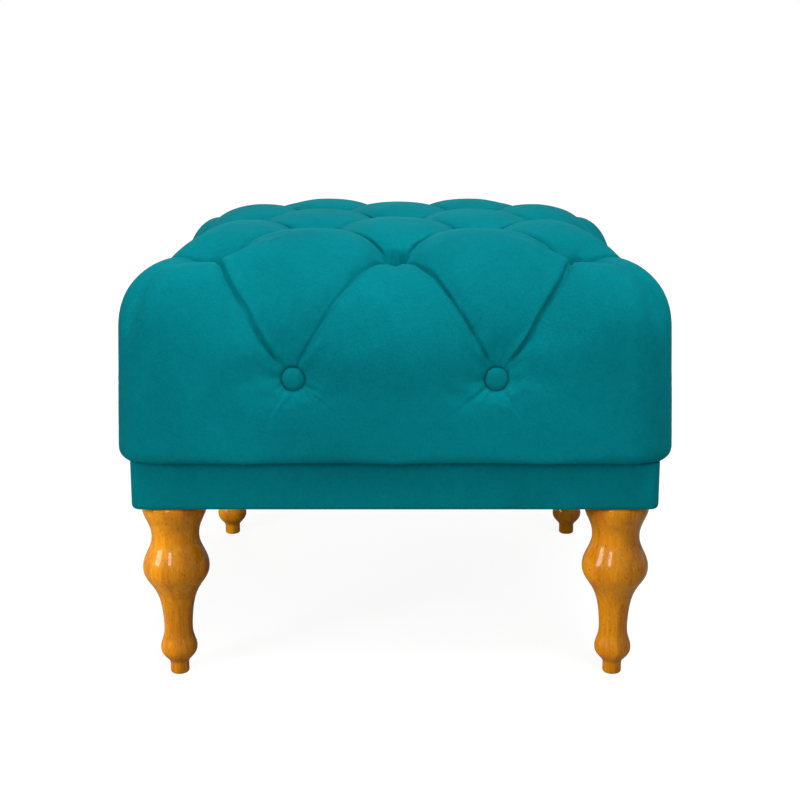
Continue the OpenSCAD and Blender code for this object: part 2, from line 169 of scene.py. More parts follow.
class Graph:
    """The node tree of one material or world."""

    def __init__(self, tree: bpy.types.NodeTree) -> None:
        """Clears the tree."""
        self.tree = tree
        tree.nodes.clear()

    def node(
        self,
        kind: str,
        settings: dict[str, Any] | None = None,
        sockets: dict[str | int, Any] | None = None,
    ) -> bpy.types.Node:
        """Adds any node.

        Args:
            kind: The node's type.
            settings: Its properties, set first.
            sockets: Values or links of its inputs, by name or number.

        Returns:
            The node.
        """
        made = self.tree.nodes.new(kind)
        for name, setting in (settings or {}).items():
            setattr(made, name, setting)
        for key, value in (sockets or {}).items():
            if isinstance(value, Value):
                self.tree.links.new(value.socket, made.inputs[key])
            else:
                made.inputs[key].default_value = value
        return made

    def value(
        self,
        kind: str,
        settings: dict[str, Any] | None = None,
        sockets: dict[str | int, Any] | None = None,
        output: str | int = 0,
    ) -> Value:
        """Adds a node and takes one of its outputs.

        Args:
            kind: The node's type.
            settings: Its properties.
            sockets: Values or links of its inputs, by name or number.
            output: The output's name or number.

        Returns:
            The output.
        """
        return Value(self, self.node(kind, settings, sockets).outputs[output])

    def place(self, scale: Sequence[float] = (1, 1, 1)) -> Value:
        """The piece's own coordinates, scaled along each axis."""
        at = self.value("ShaderNodeTexCoord", output="Object")
        return self.value("ShaderNodeMapping", None, {"Vector": at, "Scale": scale})

    def noise(
        self, at: Value, scale: float, detail: float = 2.0, rough: float = 0.5, warp: float = 0.0
    ) -> Value:
        """Smooth noise.

        Args:
            at: The coordinates that it is read at.
            scale: How many of its lumps fit in a metre.
            detail: How many finer layers lie on it.
            rough: How strong the finer layers are.
            warp: How far it is twisted.

        Returns:
            The noise, from 0 to 1.
        """
        return self.value(
            "ShaderNodeTexNoise",
            None,
            {
                "Vector": at,
                "Scale": scale,
                "Detail": detail,
                "Roughness": rough,
                "Distortion": warp,
            },
        )

    def mix(self, share: Value, low: Value | Colour, high: Value | Colour) -> Value:
        """Mixes two colours.

        Args:
            share: How much of the second colour there is, 0 to 1.
            low: The first colour.
            high: The second colour.

        Returns:
            The mixed colour.
        """
        sockets = {0: share, 6: low, 7: high}
        return self.value("ShaderNodeMix", {"data_type": "RGBA"}, sockets, output=2)

    def bumped(self, height: Value, distance: float, strength: float) -> Value:
        """A normal from a height.

        Args:
            height: The height, 0 to 1.
            distance: What a height of 1 stands for.
            strength: How much of the bump counts, 0 to 1.

        Returns:
            The normal.
        """
        sockets = {"Height": height, "Distance": distance, "Strength": strength}
        return self.value("ShaderNodeBump", None, sockets)

    def surface(self, **sockets: Any) -> None:
        """Ends a material in a Principled shader.

        Args:
            sockets: Values or links of its inputs. An underscore in a name stands for a space.
        """
        named = {key.replace("_", " "): value for key, value in sockets.items()}
        shader = self.value("ShaderNodeBsdfPrincipled", None, named)
        self.node("ShaderNodeOutputMaterial", None, {"Surface": shader})


def new_material(name: str) -> tuple[bpy.types.Material, Graph]:
    """Adds an empty material.

    Args:
        name: The material's name.

    Returns:
        The material and its graph.
    """
    material = bpy.data.materials.new(name)
    material.use_nodes = True
    return material, Graph(material.node_tree)


@dataclass(frozen=True)
class Velvet:
    """Short-pile velvet: a mottled nap with a soft sheen."""

    colour: Colour = srgb(0, 134, 143)
    shade: Colour = srgb(0, 104, 113)
    name: str = "teal_velvet"

    def material(self) -> bpy.types.Material:
        """Builds the material.

        Returns:
            The material.
        """
        made, g = new_material(self.name)
        at = g.place()
        drift = g.noise(at, 9.0, detail=3.0, rough=0.55, warp=0.6)
        mottle = g.noise(at, 150.0, detail=3.0, rough=0.6, warp=0.8)
        nap = g.noise(at, 520.0, detail=3.0, rough=0.65, warp=0.4)
        fibre = g.noise(at, 1600.0, detail=2.0, rough=0.6)
        tone = (drift * 0.36 + mottle * 0.18 + nap * 0.26 + fibre * 0.2).sloped(0.32, 0.68)
        g.surface(
            Base_Color=g.mix(tone, self.shade, self.colour),
            Roughness=0.84 + fibre * 0.12,
            Sheen_Weight=0.16,
            Sheen_Roughness=0.4,
            Sheen_Tint=srgb(0, 170, 180),
            Specular_IOR_Level=0.04,
            Normal=g.bumped(fibre * 0.3 + nap * 0.4 + mottle * 0.3, distance=0.0014, strength=0.7),
        )
        return made


@dataclass(frozen=True)
class LacqueredWood:
    """Turned wood, stained honey brown and lacquered, with its grain along Z."""

    light: Colour = srgb(228, 150, 12)
    dark: Colour = srgb(140, 66, 0)
    name: str = "turned_wood"

    def material(self) -> bpy.types.Material:
        """Builds the material.

        Returns:
            The material.
        """
        made, g = new_material(self.name)
        figure = g.noise(g.place((1.0, 1.0, 0.07)), 60.0, detail=4.0, rough=0.6, warp=0.8)
        streak = g.noise(g.place((1.0, 1.0, 0.045)), 420.0, detail=3.0, rough=0.6)
        pore = g.noise(g.place((1.0, 1.0, 0.35)), 950.0, detail=1.0, rough=0.5)
        tone = (figure * 0.65 + streak * 0.35).sloped(0.22, 0.72)
        specks = pore.sloped(0.65, 0.72)
        wood = g.mix(tone, self.dark, self.light)
        g.surface(
            Base_Color=g.mix(specks * 0.6, wood, srgb(58, 26, 6)),
            Roughness=0.4 + tone * 0.1,
            Specular_IOR_Level=0.04,
            Coat_Weight=0.45,
            Coat_Roughness=0.12,
            Coat_IOR=1.4,
            Normal=g.bumped(streak - specks * 0.3, distance=0.0003, strength=0.25),
        )
        return made


@dataclass(frozen=True)
class PlainTimber:
    """Sawn softwood of the frame."""

    name: str = "frame_timber"
    light: Colour = srgb(222, 194, 150)
    dark: Colour = srgb(186, 148, 98)
    along: tuple[float, float, float] = (0.08, 1.0, 1.0)

    def material(self) -> bpy.types.Material:
        """Builds the material.

        Returns:
            The material.
        """
        made, g = new_material(self.name)
        rings = g.noise(g.place(self.along), 60.0, detail=4.0, rough=0.55, warp=1.2)
        saw = g.noise(g.place(self.along), 500.0, detail=2.0)
        tone = (rings * 0.7 + saw * 0.3).sloped(0.38, 0.64)
        g.surface(
            Base_Color=g.mix(tone, self.dark, self.light),
            Roughness=0.72 - tone * 0.1,
            Normal=g.bumped(saw, distance=0.0004, strength=0.4),
        )
        return made


@dataclass(frozen=True)
class Plywood:
    """Plywood: a rotary-cut face with its plies on the edges."""

    name: str = "plywood"

    def material(self) -> bpy.types.Material:
        """Builds the material.

        Returns:
            The material.
        """
        made, g = new_material(self.name)
        face = g.noise(g.place((0.1, 1.0, 1.0)), 40.0, detail=4.0, rough=0.6, warp=1.5)
        plies = g.value(
            "ShaderNodeTexWave",
            {"wave_type": "BANDS", "bands_direction": "Z"},
            {"Vector": g.place(), "Scale": 105.0, "Distortion": 0.3},
            output="Fac",
        )
        wood = g.mix(face.sloped(0.35, 0.65), srgb(190, 148, 96), srgb(222, 186, 134))
        g.surface(
            Base_Color=g.mix(plies.sloped(0.45, 0.55) * 0.25, wood, srgb(140, 100, 62)),
            Roughness=0.66 + face * 0.1,
            Normal=g.bumped(face, distance=0.0003, strength=0.3),
        )
        return made


@dataclass(frozen=True)
class Foam:
    """Open-cell upholstery foam."""

    name: str = "foam"

    def material(self) -> bpy.types.Material:
        """Builds the material.

        Returns:
            The material.
        """
        made, g = new_material(self.name)
        cells = g.value(
            "ShaderNodeTexVoronoi", None, {"Vector": g.place(), "Scale": 900.0}, output="Distance"
        )
        g.surface(
            Base_Color=g.mix(cells.sloped(0.1, 0.7), srgb(214, 200, 148), srgb(240, 230, 190)),
            Roughness=0.9,
            Normal=g.bumped(cells, distance=0.0006, strength=0.6),
        )
        return made


@dataclass(frozen=True)
class Zinc:
    """Zinc-plated steel of the fixings."""

    name: str = "zinc_steel"

    def material(self) -> bpy.types.Material:
        """Builds the material.

        Returns:
            The material.
        """
        made, g = new_material(self.name)
        bloom = g.noise(g.place(), 260.0, detail=3.0, rough=0.6)
        g.surface(
            Base_Color=g.mix(bloom, srgb(150, 152, 156), srgb(196, 198, 200)),
            Metallic=0.95,
            Roughness=0.3 + bloom * 0.2,
            Normal=g.bumped(bloom, distance=0.0001, strength=0.2),
        )
        return made


@dataclass(frozen=True)
class Twine:
    """Waxed tufting twine."""

    name: str = "twine"

    def material(self) -> bpy.types.Material:
        """Builds the material.

        Returns:
            The material.
        """
        made, g = new_material(self.name)
        lay = g.value(
            "ShaderNodeTexWave",
            {"wave_type": "BANDS", "bands_direction": "DIAGONAL"},
            {"Vector": g.place(), "Scale": 260.0, "Distortion": 1.0},
            output="Fac",
        )
        g.surface(
            Base_Color=g.mix(lay, srgb(196, 184, 152), srgb(236, 230, 210)),
            Roughness=0.7,
            Normal=g.bumped(lay, distance=0.0004, strength=0.6),
        )
        return made


@dataclass(frozen=True)
class DustCloth:
    """Thin black non-woven cloth, with the fine grid of its bonding."""

    name: str = "dust_cloth"

    def material(self) -> bpy.types.Material:
        """Builds the material.

        Returns:
            The material.
        """
        made, g = new_material(self.name)
        bonds = g.value(
            "ShaderNodeTexVoronoi",
            {"distance": "CHEBYCHEV"},
            {"Vector": g.place(), "Scale": 420.0, "Randomness": 0.25},
            output="Distance",
        )
        fibres = g.noise(g.place((1.0, 0.25, 1.0)), 800.0, detail=3.0, rough=0.7)
        g.surface(
            Base_Color=g.mix(fibres, srgb(16, 16, 18), srgb(44, 44, 47)),
            Roughness=0.86,
            Normal=g.bumped(bonds.sloped(0.1, 0.6) + fibres * 0.3, distance=0.0003, strength=0.6),
        )
        return made


def new_piece(
    name: str, made: bmesh.types.BMesh, material: bpy.types.Material
) -> bpy.types.Object:
    """Makes an object of a bmesh, smooth shaded, and frees the bmesh.

    Args:
        name: The piece's name.
        made: Its shape, in place.
        material: Its material.

    Returns:
        The object, linked to the scene.
    """
    mesh = bpy.data.meshes.new(name)
    made.to_mesh(mesh)
    made.free()
    mesh.materials.append(material)
    mesh.shade_smooth()
    piece = bpy.data.objects.new(name, mesh)
    bpy.context.scene.collection.objects.link(piece)
    return piece


def hand_over(piece: bpy.types.Object, slot: str, *nodes: str) -> bpy.types.Object:
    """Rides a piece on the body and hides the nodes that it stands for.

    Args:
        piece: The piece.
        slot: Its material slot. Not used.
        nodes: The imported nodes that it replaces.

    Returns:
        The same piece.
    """
    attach(piece, BODY)
    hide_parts(*nodes)
    LOG.info("%s: %d faces, for %s", piece.name, len(piece.data.polygons), ", ".join(nodes))
    return piece


@dataclass(frozen=True)
class Pleat:
    """The pleat along a fold: a groove, and beside it the cloth that laps over it.

    A pair named a noise is how many of its lumps fit in a metre, and its seed.
    """

    depth: float = 0.0025
    width: float = 0.0014
    lap: float = 0.0020
    lap_at: float = 0.0030
    lap_width: float = 0.0024
    wander: float = 0.0009
    wander_noise: tuple[float, float] = (70, 2.0)
    jag: float = 0.0006
    jag_noise: tuple[float, float] = (260, 4.0)
    mean_slack: float = 0.75
    uneven_slack: float = 0.9
    slack_noise: tuple[float, float] = (13, 22.3)
    least: float = 0.15
    most: float = 1.2
    clear_r: float = 0.010
    clear_width: float = 0.008

    def height(self, u: float, v: float, away: float, share: float) -> float:
        """Height of the pleat at a place, above the plain cover.

        Args:
            u: Place on the flat cloth, across.
            v: Place on the flat cloth, front to back.
            away: Signed distance from the fold.
            share: How strong the fold is there, 0 to 1.

        Returns:
            The height, below 0 in the groove.
        """
        jagged = cloth_noise(u, v, *self.jag_noise)
        away += self.wander * cloth_noise(u, v, *self.wander_noise) + self.jag * jagged
        slack = self.mean_slack + self.uneven_slack * cloth_noise(u, v, *self.slack_noise)
        share *= (1 + 0.5 * jagged) * max(self.least, min(self.most, slack))
        groove = self.depth * bump(away, self.width)
        return share * (self.lap * bump(away + self.lap_at, self.lap_width) - groove)


@dataclass(frozen=True)
class Holds:
    """How firmly the simulation holds the cloth, 1 being fast, and where each hold reaches.

    Distances with from or over in their names are in pitches. The rest are in metres.
    """

    button_r: float = 0.013
    button_wall: float = 0.012
    fold: float = 0.55
    fold_width: float = 0.005
    low: float = 0.9
    low_from: float = 1.3
    low_over: float = 0.6
    corner: float = 0.8
    corner_from: float = 2.3
    corner_wall: float = 0.06


@dataclass
class TuftedCushion:
    """The tufted cover: a cloth with a diamond of folds, drawn in at its buttons.

    The cloth is square, and (u, v) are places on it while it lies flat. A button sits wherever u
    and v are both even, or both odd, multiples of half the pitch, and the folds join them. A pair
    of fields named a turn is where a change begins on the way to a corner, and how far it takes.
    """

    pitch: float = 0.160
    half: float = 0.249
    flare: float = 0.004
    foot: float = 0.2152
    shoulder_z: float = 0.396
    crown: float = 0.020
    shoulder_r: float = 0.098
    end_shoulder_r: float = 0.062
    shoulder_turn: tuple[float, float] = (0.45, 0.4)
    corner_softness: float = 0.024
    corner_turn: tuple[float, float] = (0.85, 0.15)
    corner_r: float = 0.044
    foot_edge_r: float = 0.0105
    mid_foot_r: float = 0.006
    mid_droop: float = 0.0006
    end_droop: float = 0.0032
    foot_turn: tuple[float, float] = (0.84, 0.14)
    button_x: float = 0.090
    button_z: float = 0.291
    top_tuft: float = 0.042
    side_tuft: float = 0.016
    tuft_power: float = 0.7
    top_fold: float = 0.013
    side_fold: float = 0.0032
    low_fold: float = 0.45
    low_fold_spread: float = 0.4
    puff_power: float = 0.5
    cells: int = 24
    crowding: float = 0.65
    hem_half: float = 0.187
    frames: int = 20
    pressure: float = 3.0
    settle_cap: float = 0.002
    holds: Holds = Holds()
    pleat: Pleat = Pleat()
    gather: float = 0.0005
    gather_at: float = 0.015
    gather_width: float = 0.008
    seat_r: float = 0.0094
    seat_wall: float = 0.0026
    seat_gap: float = 0.0003

    @property
    def side_row(self) -> float:
        """How far out on the cloth the side buttons sit."""
        return 1.5 * self.pitch

    @property
    def bend(self) -> float:
        """How far the cloth's lines bend, so that the one a third of the way out meets a button."""
        third = 1 / 3
        return (self.button_x / self.half - third) / (third * (1 - third))

    @property
    def cloth_half(self) -> float:
        """Half the cloth's side as far as it shows."""
        return self.side_row + self.low_cloth(self.foot_edge_r)

    def low_cloth(self, edge_r: float) -> float:
        """Cloth from a side button's row to the end of a foot's edge of some radius."""
        return self.button_z - self.foot + (math.pi / 2 - 1) * edge_r

    def shoulder_at(self, t: float) -> float:
        """Radius of the shoulder at a share t of the way to a corner."""
        nearing = (self.end_shoulder_r - self.shoulder_r) * soft_step(t, *self.shoulder_turn)
        return self.shoulder_r + nearing + self.corner_softness * soft_step(t, *self.corner_turn)

    def row(self, m: float) -> float:
        """0 on the top's rows of buttons and 1 on the side's, with a soft step between."""
        return soft_step(m, self.pitch, 0.5 * self.pitch)

    def fading(self, m: float) -> float:
        """How much of each fold is left at a distance out: 1 down to the side's row, then less."""
        return 1 - soft_step(m, self.side_row, 0.3 * self.pitch)

    def drawn_in(self, u: float, v: float) -> float:
        """How far the cloth is drawn in at a place.

        Args:
            u: Place on the flat cloth, across.
            v: Place on the flat cloth, front to back.

        Returns:
            The depth below the plain cushion: most at a button, less at a fold, none between.
        """
        au, av = abs(u), abs(v)
        m = max(au, av)
        total, gap = (au + av) / self.pitch, abs(au - av) / self.pitch
        down, fading = self.row(m), self.fading(m)
        past_corner = 1 - soft_step(total, 2, 0.5) if gap < 0.5 else 1.0
        wave_total = 1.0 if total > 2.5 else abs(math.sin(math.pi * total))
        wave_gap = 1.0 if gap > 1.5 else 1 - (1 - abs(math.sin(math.pi * gap))) * past_corner
        across = 1 - (1 - wave_total) * fading
        along = 1 - (1 - wave_gap) * fading
        puff = (across * along) ** self.puff_power
        near_button = 1 - max(across, along) ** self.tuft_power
        tuft = self.top_tuft + (self.side_tuft - self.top_tuft) * down
        fold = self.top_fold + (self.side_fold - self.top_fold) * down
        return (fold + (tuft - fold) * near_button) * (1 - puff)

    def profile(self, m: float, t: float) -> tuple[float, float, float]:
        """The plain cushion's outline, from the middle of the top out and down to the foot.

        Args:
            m: How far out a place is on the cloth.
            t: Share of the way to a corner, 0 to 1.

        Returns:
            How far out and how high the place is, and how steep the cover is there, in radians.
        """
        r = self.shoulder_at(t)
        run_shoulder = self.half - r
        run_side = run_shoulder + r * math.pi / 2
        run_button = run_side + self.shoulder_z - r - self.button_z
        near_end = soft_step(t, *self.foot_turn)
        foot_r = self.mid_foot_r + (self.foot_edge_r - self.mid_foot_r) * near_end
        droop = self.mid_droop + (self.end_droop - self.mid_droop) * near_end
        run_foot = run_button + self.button_z - self.foot - foot_r
        if m <= self.pitch:
            run = m
        elif m <= self.side_row:
            run = self.pitch + 2 * (m / self.pitch - 1) * (run_button - self.pitch)
        else:
            share = self.low_cloth(foot_r) / self.low_cloth(self.foot_edge_r)
            run = run_button + (m - self.side_row) * share
        run = min(run, run_foot + foot_r * math.pi / 2)
        over = max(0.0, min(math.pi / 2, (run - run_shoulder) / r))
        under = max(0.0, (run - run_foot) / foot_r)
        out = min(run, run_shoulder) + r * math.sin(over) - foot_r * (1 - math.cos(under))
        fall = max(0.0, min(run, run_foot) - run_side)
        fall += foot_r * math.sin(under) + droop * math.sin(2 * under)
        return out, self.shoulder_z - r * (1 - math.cos(over)) - fall, over + under

    def around(self, out: float, share: float) -> tuple[float, float, float, float]:
        """A place on the rounded square that the cushion fills at some height.

        Args:
            out: Half the square's side.
            share: Share of the way along a side, from its middle to a corner, -1 to 1.

        Returns:
            The place along the side and out from the middle, and the way outwards there.
        """
        corner = max(1e-6, self.corner_r - (self.half - out))
        straight = out - corner
        place = out * share
        on_straight = max(-straight, min(straight, place))
        past = place - on_straight
        reach = math.hypot(past, corner)
        nx, ny = past / reach, corner / reach
        return on_straight + corner * nx, straight + corner * ny, nx, ny

    def point(self, u: float, v: float) -> Vector:
        """The place on the cover of a place on the cloth.

        Args:
            u: Place on the flat cloth, across.
            v: Place on the flat cloth, front to back.

        Returns:
            The point, on the tufted surface.
        """
        m = max(abs(u), abs(v), 1e-6)
        front = abs(v) >= abs(u)
        t = (u if front else v) / m
        out, z, steep = self.profile(m, abs(t))
        bend = self.bend * self.row(m)
        share = sign(t) * (abs(t) + bend * abs(t) * (1 - abs(t)))
        ax, ay, nx, ny = self.around(out, share)
        side = sign(v if front else u)
        ay *= side
        ny *= side
        if not front:
            ax, ay, nx, ny = ay, ax, ny, nx
        upright = self.shoulder_z - self.shoulder_at(abs(t))
        low = (upright - z) / (upright - self.foot)
        flare = 1 + self.flare / self.half * max(0.0, min(1.0, low))
        dome = (
            self.crown
            * max(0.0, 1 - (ax / self.half) ** 4)
            * max(0.0, 1 - (ay / self.half) ** 4)
        )
        tilt, lift = math.sin(steep), math.cos(steep)
        d = self.drawn_in(u, v)
        return Vector(
            (ax * flare - nx * tilt * d, ay * flare - ny * tilt * d, z + dome - lift * d)
        )

    def top_buttons(self) -> list[tuple[float, float]]:
        """Lists the top's buttons.

        Returns:
            Their places on the cloth.
        """
        p = self.pitch
        full = [(i * p, j * p) for i in (-1, 0, 1) for j in (-1, 0, 1)]
        return full + [(i * p, j * p) for i in (-0.5, 0.5) for j in (-0.5, 0.5)]

    def side_seat(self) -> Vector:
        """The seat of the front's right button."""
        return self.point(self.pitch / 2, -self.side_row)

    def crowd(self, s: float) -> float:
        """Moves a line of the bias grid closer to the nearest fold."""
        step = self.pitch / math.sqrt(2)
        return s - self.crowding * step / TAU * math.sin(TAU * s / step)

    def bias_cloth(self) -> bmesh.types.BMesh:
        """The flat cloth with its grid on the bias, so that every fold lies on a line of it.

        Returns:
            The cloth, cut square, in cloth coordinates.
        """
        spacing = self.pitch / math.sqrt(2) / self.cells
        count = math.ceil(self.cloth_half * math.sqrt(2) / spacing) + 1
        cloth = bmesh.new()
        bmesh.ops.create_grid(
            cloth, x_segments=2 * count, y_segments=2 * count, size=count * spacing
        )
        for vert in cloth.verts:
            vert.co.x, vert.co.y = self.crowd(vert.co.x), self.crowd(vert.co.y)
        on_the_bias = Matrix.Rotation(math.pi / 4, 3, "Z")
        bmesh.ops.rotate(cloth, cent=(0, 0, 0), matrix=on_the_bias, verts=cloth.verts)
        for way in ((1, 0, 0), (-1, 0, 0), (0, 1, 0), (0, -1, 0)):
            bmesh.ops.bisect_plane(
                cloth,
                geom=[*cloth.verts, *cloth.edges, *cloth.faces],
                plane_co=Vector(way) * self.cloth_half,
                plane_no=way,
                clear_outer=True,
            )
        return cloth

    def tufted(self) -> bmesh.types.BMesh:
        """Lays the cloth over the cushion and draws it in.

        Returns:
            The cover, which keeps the flat place of each of its points in the layer "cloth".
        """
        cloth = self.bias_cloth()
        flat = cloth.verts.layers.float_vector.new("cloth")
        for vert in cloth.verts:
            u, v = vert.co.x, vert.co.y
            vert[flat] = (u, v, 0.0)
            vert.co = self.point(u, v)
        return cloth

    def nearest_button(self, u: float, v: float) -> tuple[float, float]:
        """The button nearest to a place on the cloth.

        Args:
            u: Place on the flat cloth, across.
            v: Place on the flat cloth, front to back.

        Returns:
            The button's place on the flat cloth, or a place far off where there is no button.
        """
        a, b = round((u + v) / self.pitch), round((u - v) / self.pitch)
        at = ((a + b) * self.pitch / 2, (a - b) * self.pitch / 2)
        on_cover = max(abs(at[0]), abs(at[1])) < 1.6 * self.pitch
        clear_of_corner = abs(at[0]) + abs(at[1]) < 2.5 * self.pitch
        return at if on_cover and clear_of_corner else FAR_OFF

    def from_button(self, u: float, v: float) -> float:
        """Distance on the cloth from the nearest button."""
        at = self.nearest_button(u, v)
        return math.hypot(u - at[0], v - at[1])

    def folds(self, u: float, v: float) -> list[tuple[float, float]]:
        """The folds near a place.

        Args:
            u: Place on the flat cloth, across.
            v: Place on the flat cloth, front to back.

        Returns:
            For each fold, the signed distance from it and how strong it is there, 0 to 1.
        """
        au, av, spread = abs(u), abs(v), self.pitch / math.sqrt(2)
        total, gap = (au + av) / self.pitch, (au - av) / self.pitch
        m = max(au, av)
        fading = self.fading(m)
        if m > self.side_row:
            seed = sign(u) * 3 + round(gap) * 1.7
            luck = noise.noise(Vector((seed, v * 4, 0.5)))
            fading *= self.low_fold + self.low_fold_spread * luck
        past_corner = 1 - soft_step(total, 2, 0.4) if abs(gap) < 0.5 else 1.0
        found = []
        if total < 2.5:
            found.append(((total - round(total)) * spread, fading))
        if abs(gap) < 1.5:
            found.append(((gap - round(gap)) * spread, fading * past_corner))
        return found

    def held(self, u: float, v: float) -> float:
        """How firmly the cloth is held: fully at its hem and buttons, partly at its folds.

        Args:
            u: Place on the flat cloth, across.
            v: Place on the flat cloth, front to back.

        Returns:
            0 where it is free to 1 where it is held.
        """
        m, less = max(abs(u), abs(v)), min(abs(u), abs(v))
        if m > self.cloth_half - self.foot_edge_r:
            return 1.0
        hold = self.holds
        button = 1 - soft_step(self.from_button(u, v), hold.button_r, hold.button_wall)
        along_folds = [
            hold.fold * share * bump(away, hold.fold_width) for away, share in self.folds(u, v)
        ]
        low = hold.low * soft_step(m / self.pitch, hold.low_from, hold.low_over)
        past = soft_step(less + m, hold.corner_from * self.pitch, hold.corner_wall)
        return max(button, low, hold.corner * past, *along_folds)

    def settle(self, piece: bpy.types.Object) -> None:
        """Lets the cloth settle over its padding in a cloth simulation, and keeps the result.

        Args:
            piece: The cover, whose points each move as far as the cap at most.
        """
        mesh = piece.data
        start = [vert.co.copy() for vert in mesh.vertices]
        group = piece.vertex_groups.new(name="held")
        for index, place in enumerate(mesh.attributes["cloth"].data):
            group.add([index], self.held(place.vector.x, place.vector.y), "REPLACE")
        live = piece.modifiers.new("settle", "CLOTH")
        cloth = live.settings
        cloth.quality = 5
        cloth.mass = 0.15
        cloth.tension_stiffness = cloth.compression_stiffness = 12.0
        cloth.shear_stiffness = 4.0
        cloth.bending_stiffness = 0.3
        cloth.use_pressure = True
        cloth.uniform_pressure_force = self.pressure
        cloth.vertex_group_mass = group.name
        cloth.pin_stiffness = 1.0
        cloth.shrink_min = -0.02
        cloth.effector_weights.gravity = 0.0
        live.point_cache.frame_start, live.point_cache.frame_end = 1, self.frames
        for number in range(1, self.frames + 1):
            bpy.context.scene.frame_set(number)
        settle_modifiers(piece)
        bpy.context.scene.frame_set(1)
        moves = []
        for vert, before in zip(piece.data.vertices, start):
            move = vert.co - before
            moves.append(move.length)
            if move.length > self.settle_cap:
                vert.co = before + move.normalized() * self.settle_cap
        LOG.info(
            "%s settled, by %.1f mm at most, %.2f on average, held to %.1f",
            piece.name,
            1000 * max(moves),
            1000 * sum(moves) / len(moves),
            1000 * self.settle_cap,
        )

    def crease(self, piece: bpy.types.Object) -> None:
        """Sharpens the folds into pleats, and gathers the cloth round the buttons.

        Args:
            piece: The cover.
        """
        mesh = piece.data
        normals = [vert.normal.copy() for vert in mesh.vertices]
        for vert, normal, place in zip(mesh.vertices, normals, mesh.attributes["cloth"].data):
            u, v = place.vector.x, place.vector.y
            button = self.from_button(u, v)
            clear = soft_step(button, self.pleat.clear_r, self.pleat.clear_width)
            lift = sum(
                self.pleat.height(u, v, away, share * clear) for away, share in self.folds(u, v)
            )
            vert.co += normal * (lift + self.gathers(u, v, button))

    def gathers(self, u: float, v: float, button: float) -> float:
        """Height of the small gathers that run out from a button.

        Args:
            u: Place on the flat cloth, across.
            v: Place on the flat cloth, front to back.
            button: Distance from the button.

        Returns:
            The height, above or below the plain cover.
        """
        reach = bump(button - self.gather_at, self.gather_width)
        if reach < 0.01:
            return 0.0
        a, b = (u + v) / self.pitch, (u - v) / self.pitch
        turn = math.atan2(b - round(b), a - round(a))
        seed = 3.1 * round(a) + 5.7 * round(b)
        ripple = math.sin(9 * turn + seed) + 0.6 * math.sin(14 * turn + 2.3 * seed)
        return self.gather * reach * ripple

    def facing(self, u: float, v: float) -> Vector:
        """The way that a button faces.

        Args:
            u: Its place on the flat cloth, across.
            v: Its place on the flat cloth, front to back.

        Returns:
            The way, of length 1.
        """
        if max(abs(u), abs(v)) < 1.4 * self.pitch:
            return Vector((0, 0, 1))
        return Vector((0, sign(v), 0)) if abs(v) > abs(u) else Vector((sign(u), 0, 0))

    def seat(self, piece: bpy.types.Object) -> None:
        """Flattens the cover under each button, out to just past the button's rim.

        Args:
            piece: The cover.
        """
        mesh = piece.data
        for vert, place in zip(mesh.vertices, mesh.attributes["cloth"].data):
            u, v = place.vector.x, place.vector.y
            at_u, at_v = self.nearest_button(u, v)
            if math.hypot(u - at_u, v - at_v) > 2 * self.seat_r:
                continue
            axis = self.facing(at_u, at_v)
            from_seat = vert.co - self.point(at_u, at_v)
            height = from_seat.dot(axis)
            reach = (from_seat - axis * height).length
            down = 1 - soft_step(reach, self.seat_r, self.seat_wall)
            vert.co -= axis * (height - self.seat_gap) * down

    def close_foot(self, piece: bpy.types.Object) -> None:
        """Turns the hem under and closes the cover beneath, inside its hem.

        Args:
            piece: The cover.
        """
        made = bmesh.new()
        made.from_mesh(piece.data)
        rim = [edge for edge in made.edges if edge.is_boundary]
        turned = bmesh.ops.extrude_edge_only(made, edges=rim)["geom"]
        hem = [item for item in turned if isinstance(item, bmesh.types.BMVert)]
        shrink = self.hem_half / self.half
        for vert in hem:
            vert.co.x *= shrink
            vert.co.y *= shrink
            vert.co.z = self.foot
        opening = [item for item in turned if isinstance(item, bmesh.types.BMEdge)]
        bmesh.ops.edgeloop_fill(made, edges=opening)
        bmesh.ops.recalc_face_normals(made, faces=made.faces)
        made.to_mesh(piece.data)
        made.free()

    def build(self, material: bpy.types.Material) -> bpy.types.Object:
        """Makes the cover.

        Args:
            material: Its velvet.

        Returns:
            The piece.
        """
        piece = new_piece("tufted_cover", self.tufted(), material)
        self.settle(piece)
        finer(piece)
        self.crease(piece)
        self.seat(piece)
        self.close_foot(piece)
        piece.data.shade_smooth()
        return hand_over(piece, "teal_velvet", "cushion_cover")


def finer(piece: bpy.types.Object) -> None:
    """Subdivides a piece's mesh once, smoothly, and keeps no modifier on it.

    Args:
        piece: The piece.
    """
    live = piece.modifiers.new("finer", "SUBSURF")
    live.levels = live.render_levels = 1
    live.boundary_smooth = "PRESERVE_CORNERS"
    settle_modifiers(piece)


def settle_modifiers(piece: bpy.types.Object) -> None:
    """Swaps a piece's mesh for what its modifiers make of it, and takes them off.

    Args:
        piece: The piece.
    """
    graph = bpy.context.evaluated_depsgraph_get()
    graph.update()
    old = piece.data
    piece.data = bpy.data.meshes.new_from_object(piece.evaluated_get(graph))
    piece.data.name = old.name
    piece.modifiers.clear()
    bpy.data.meshes.remove(old)


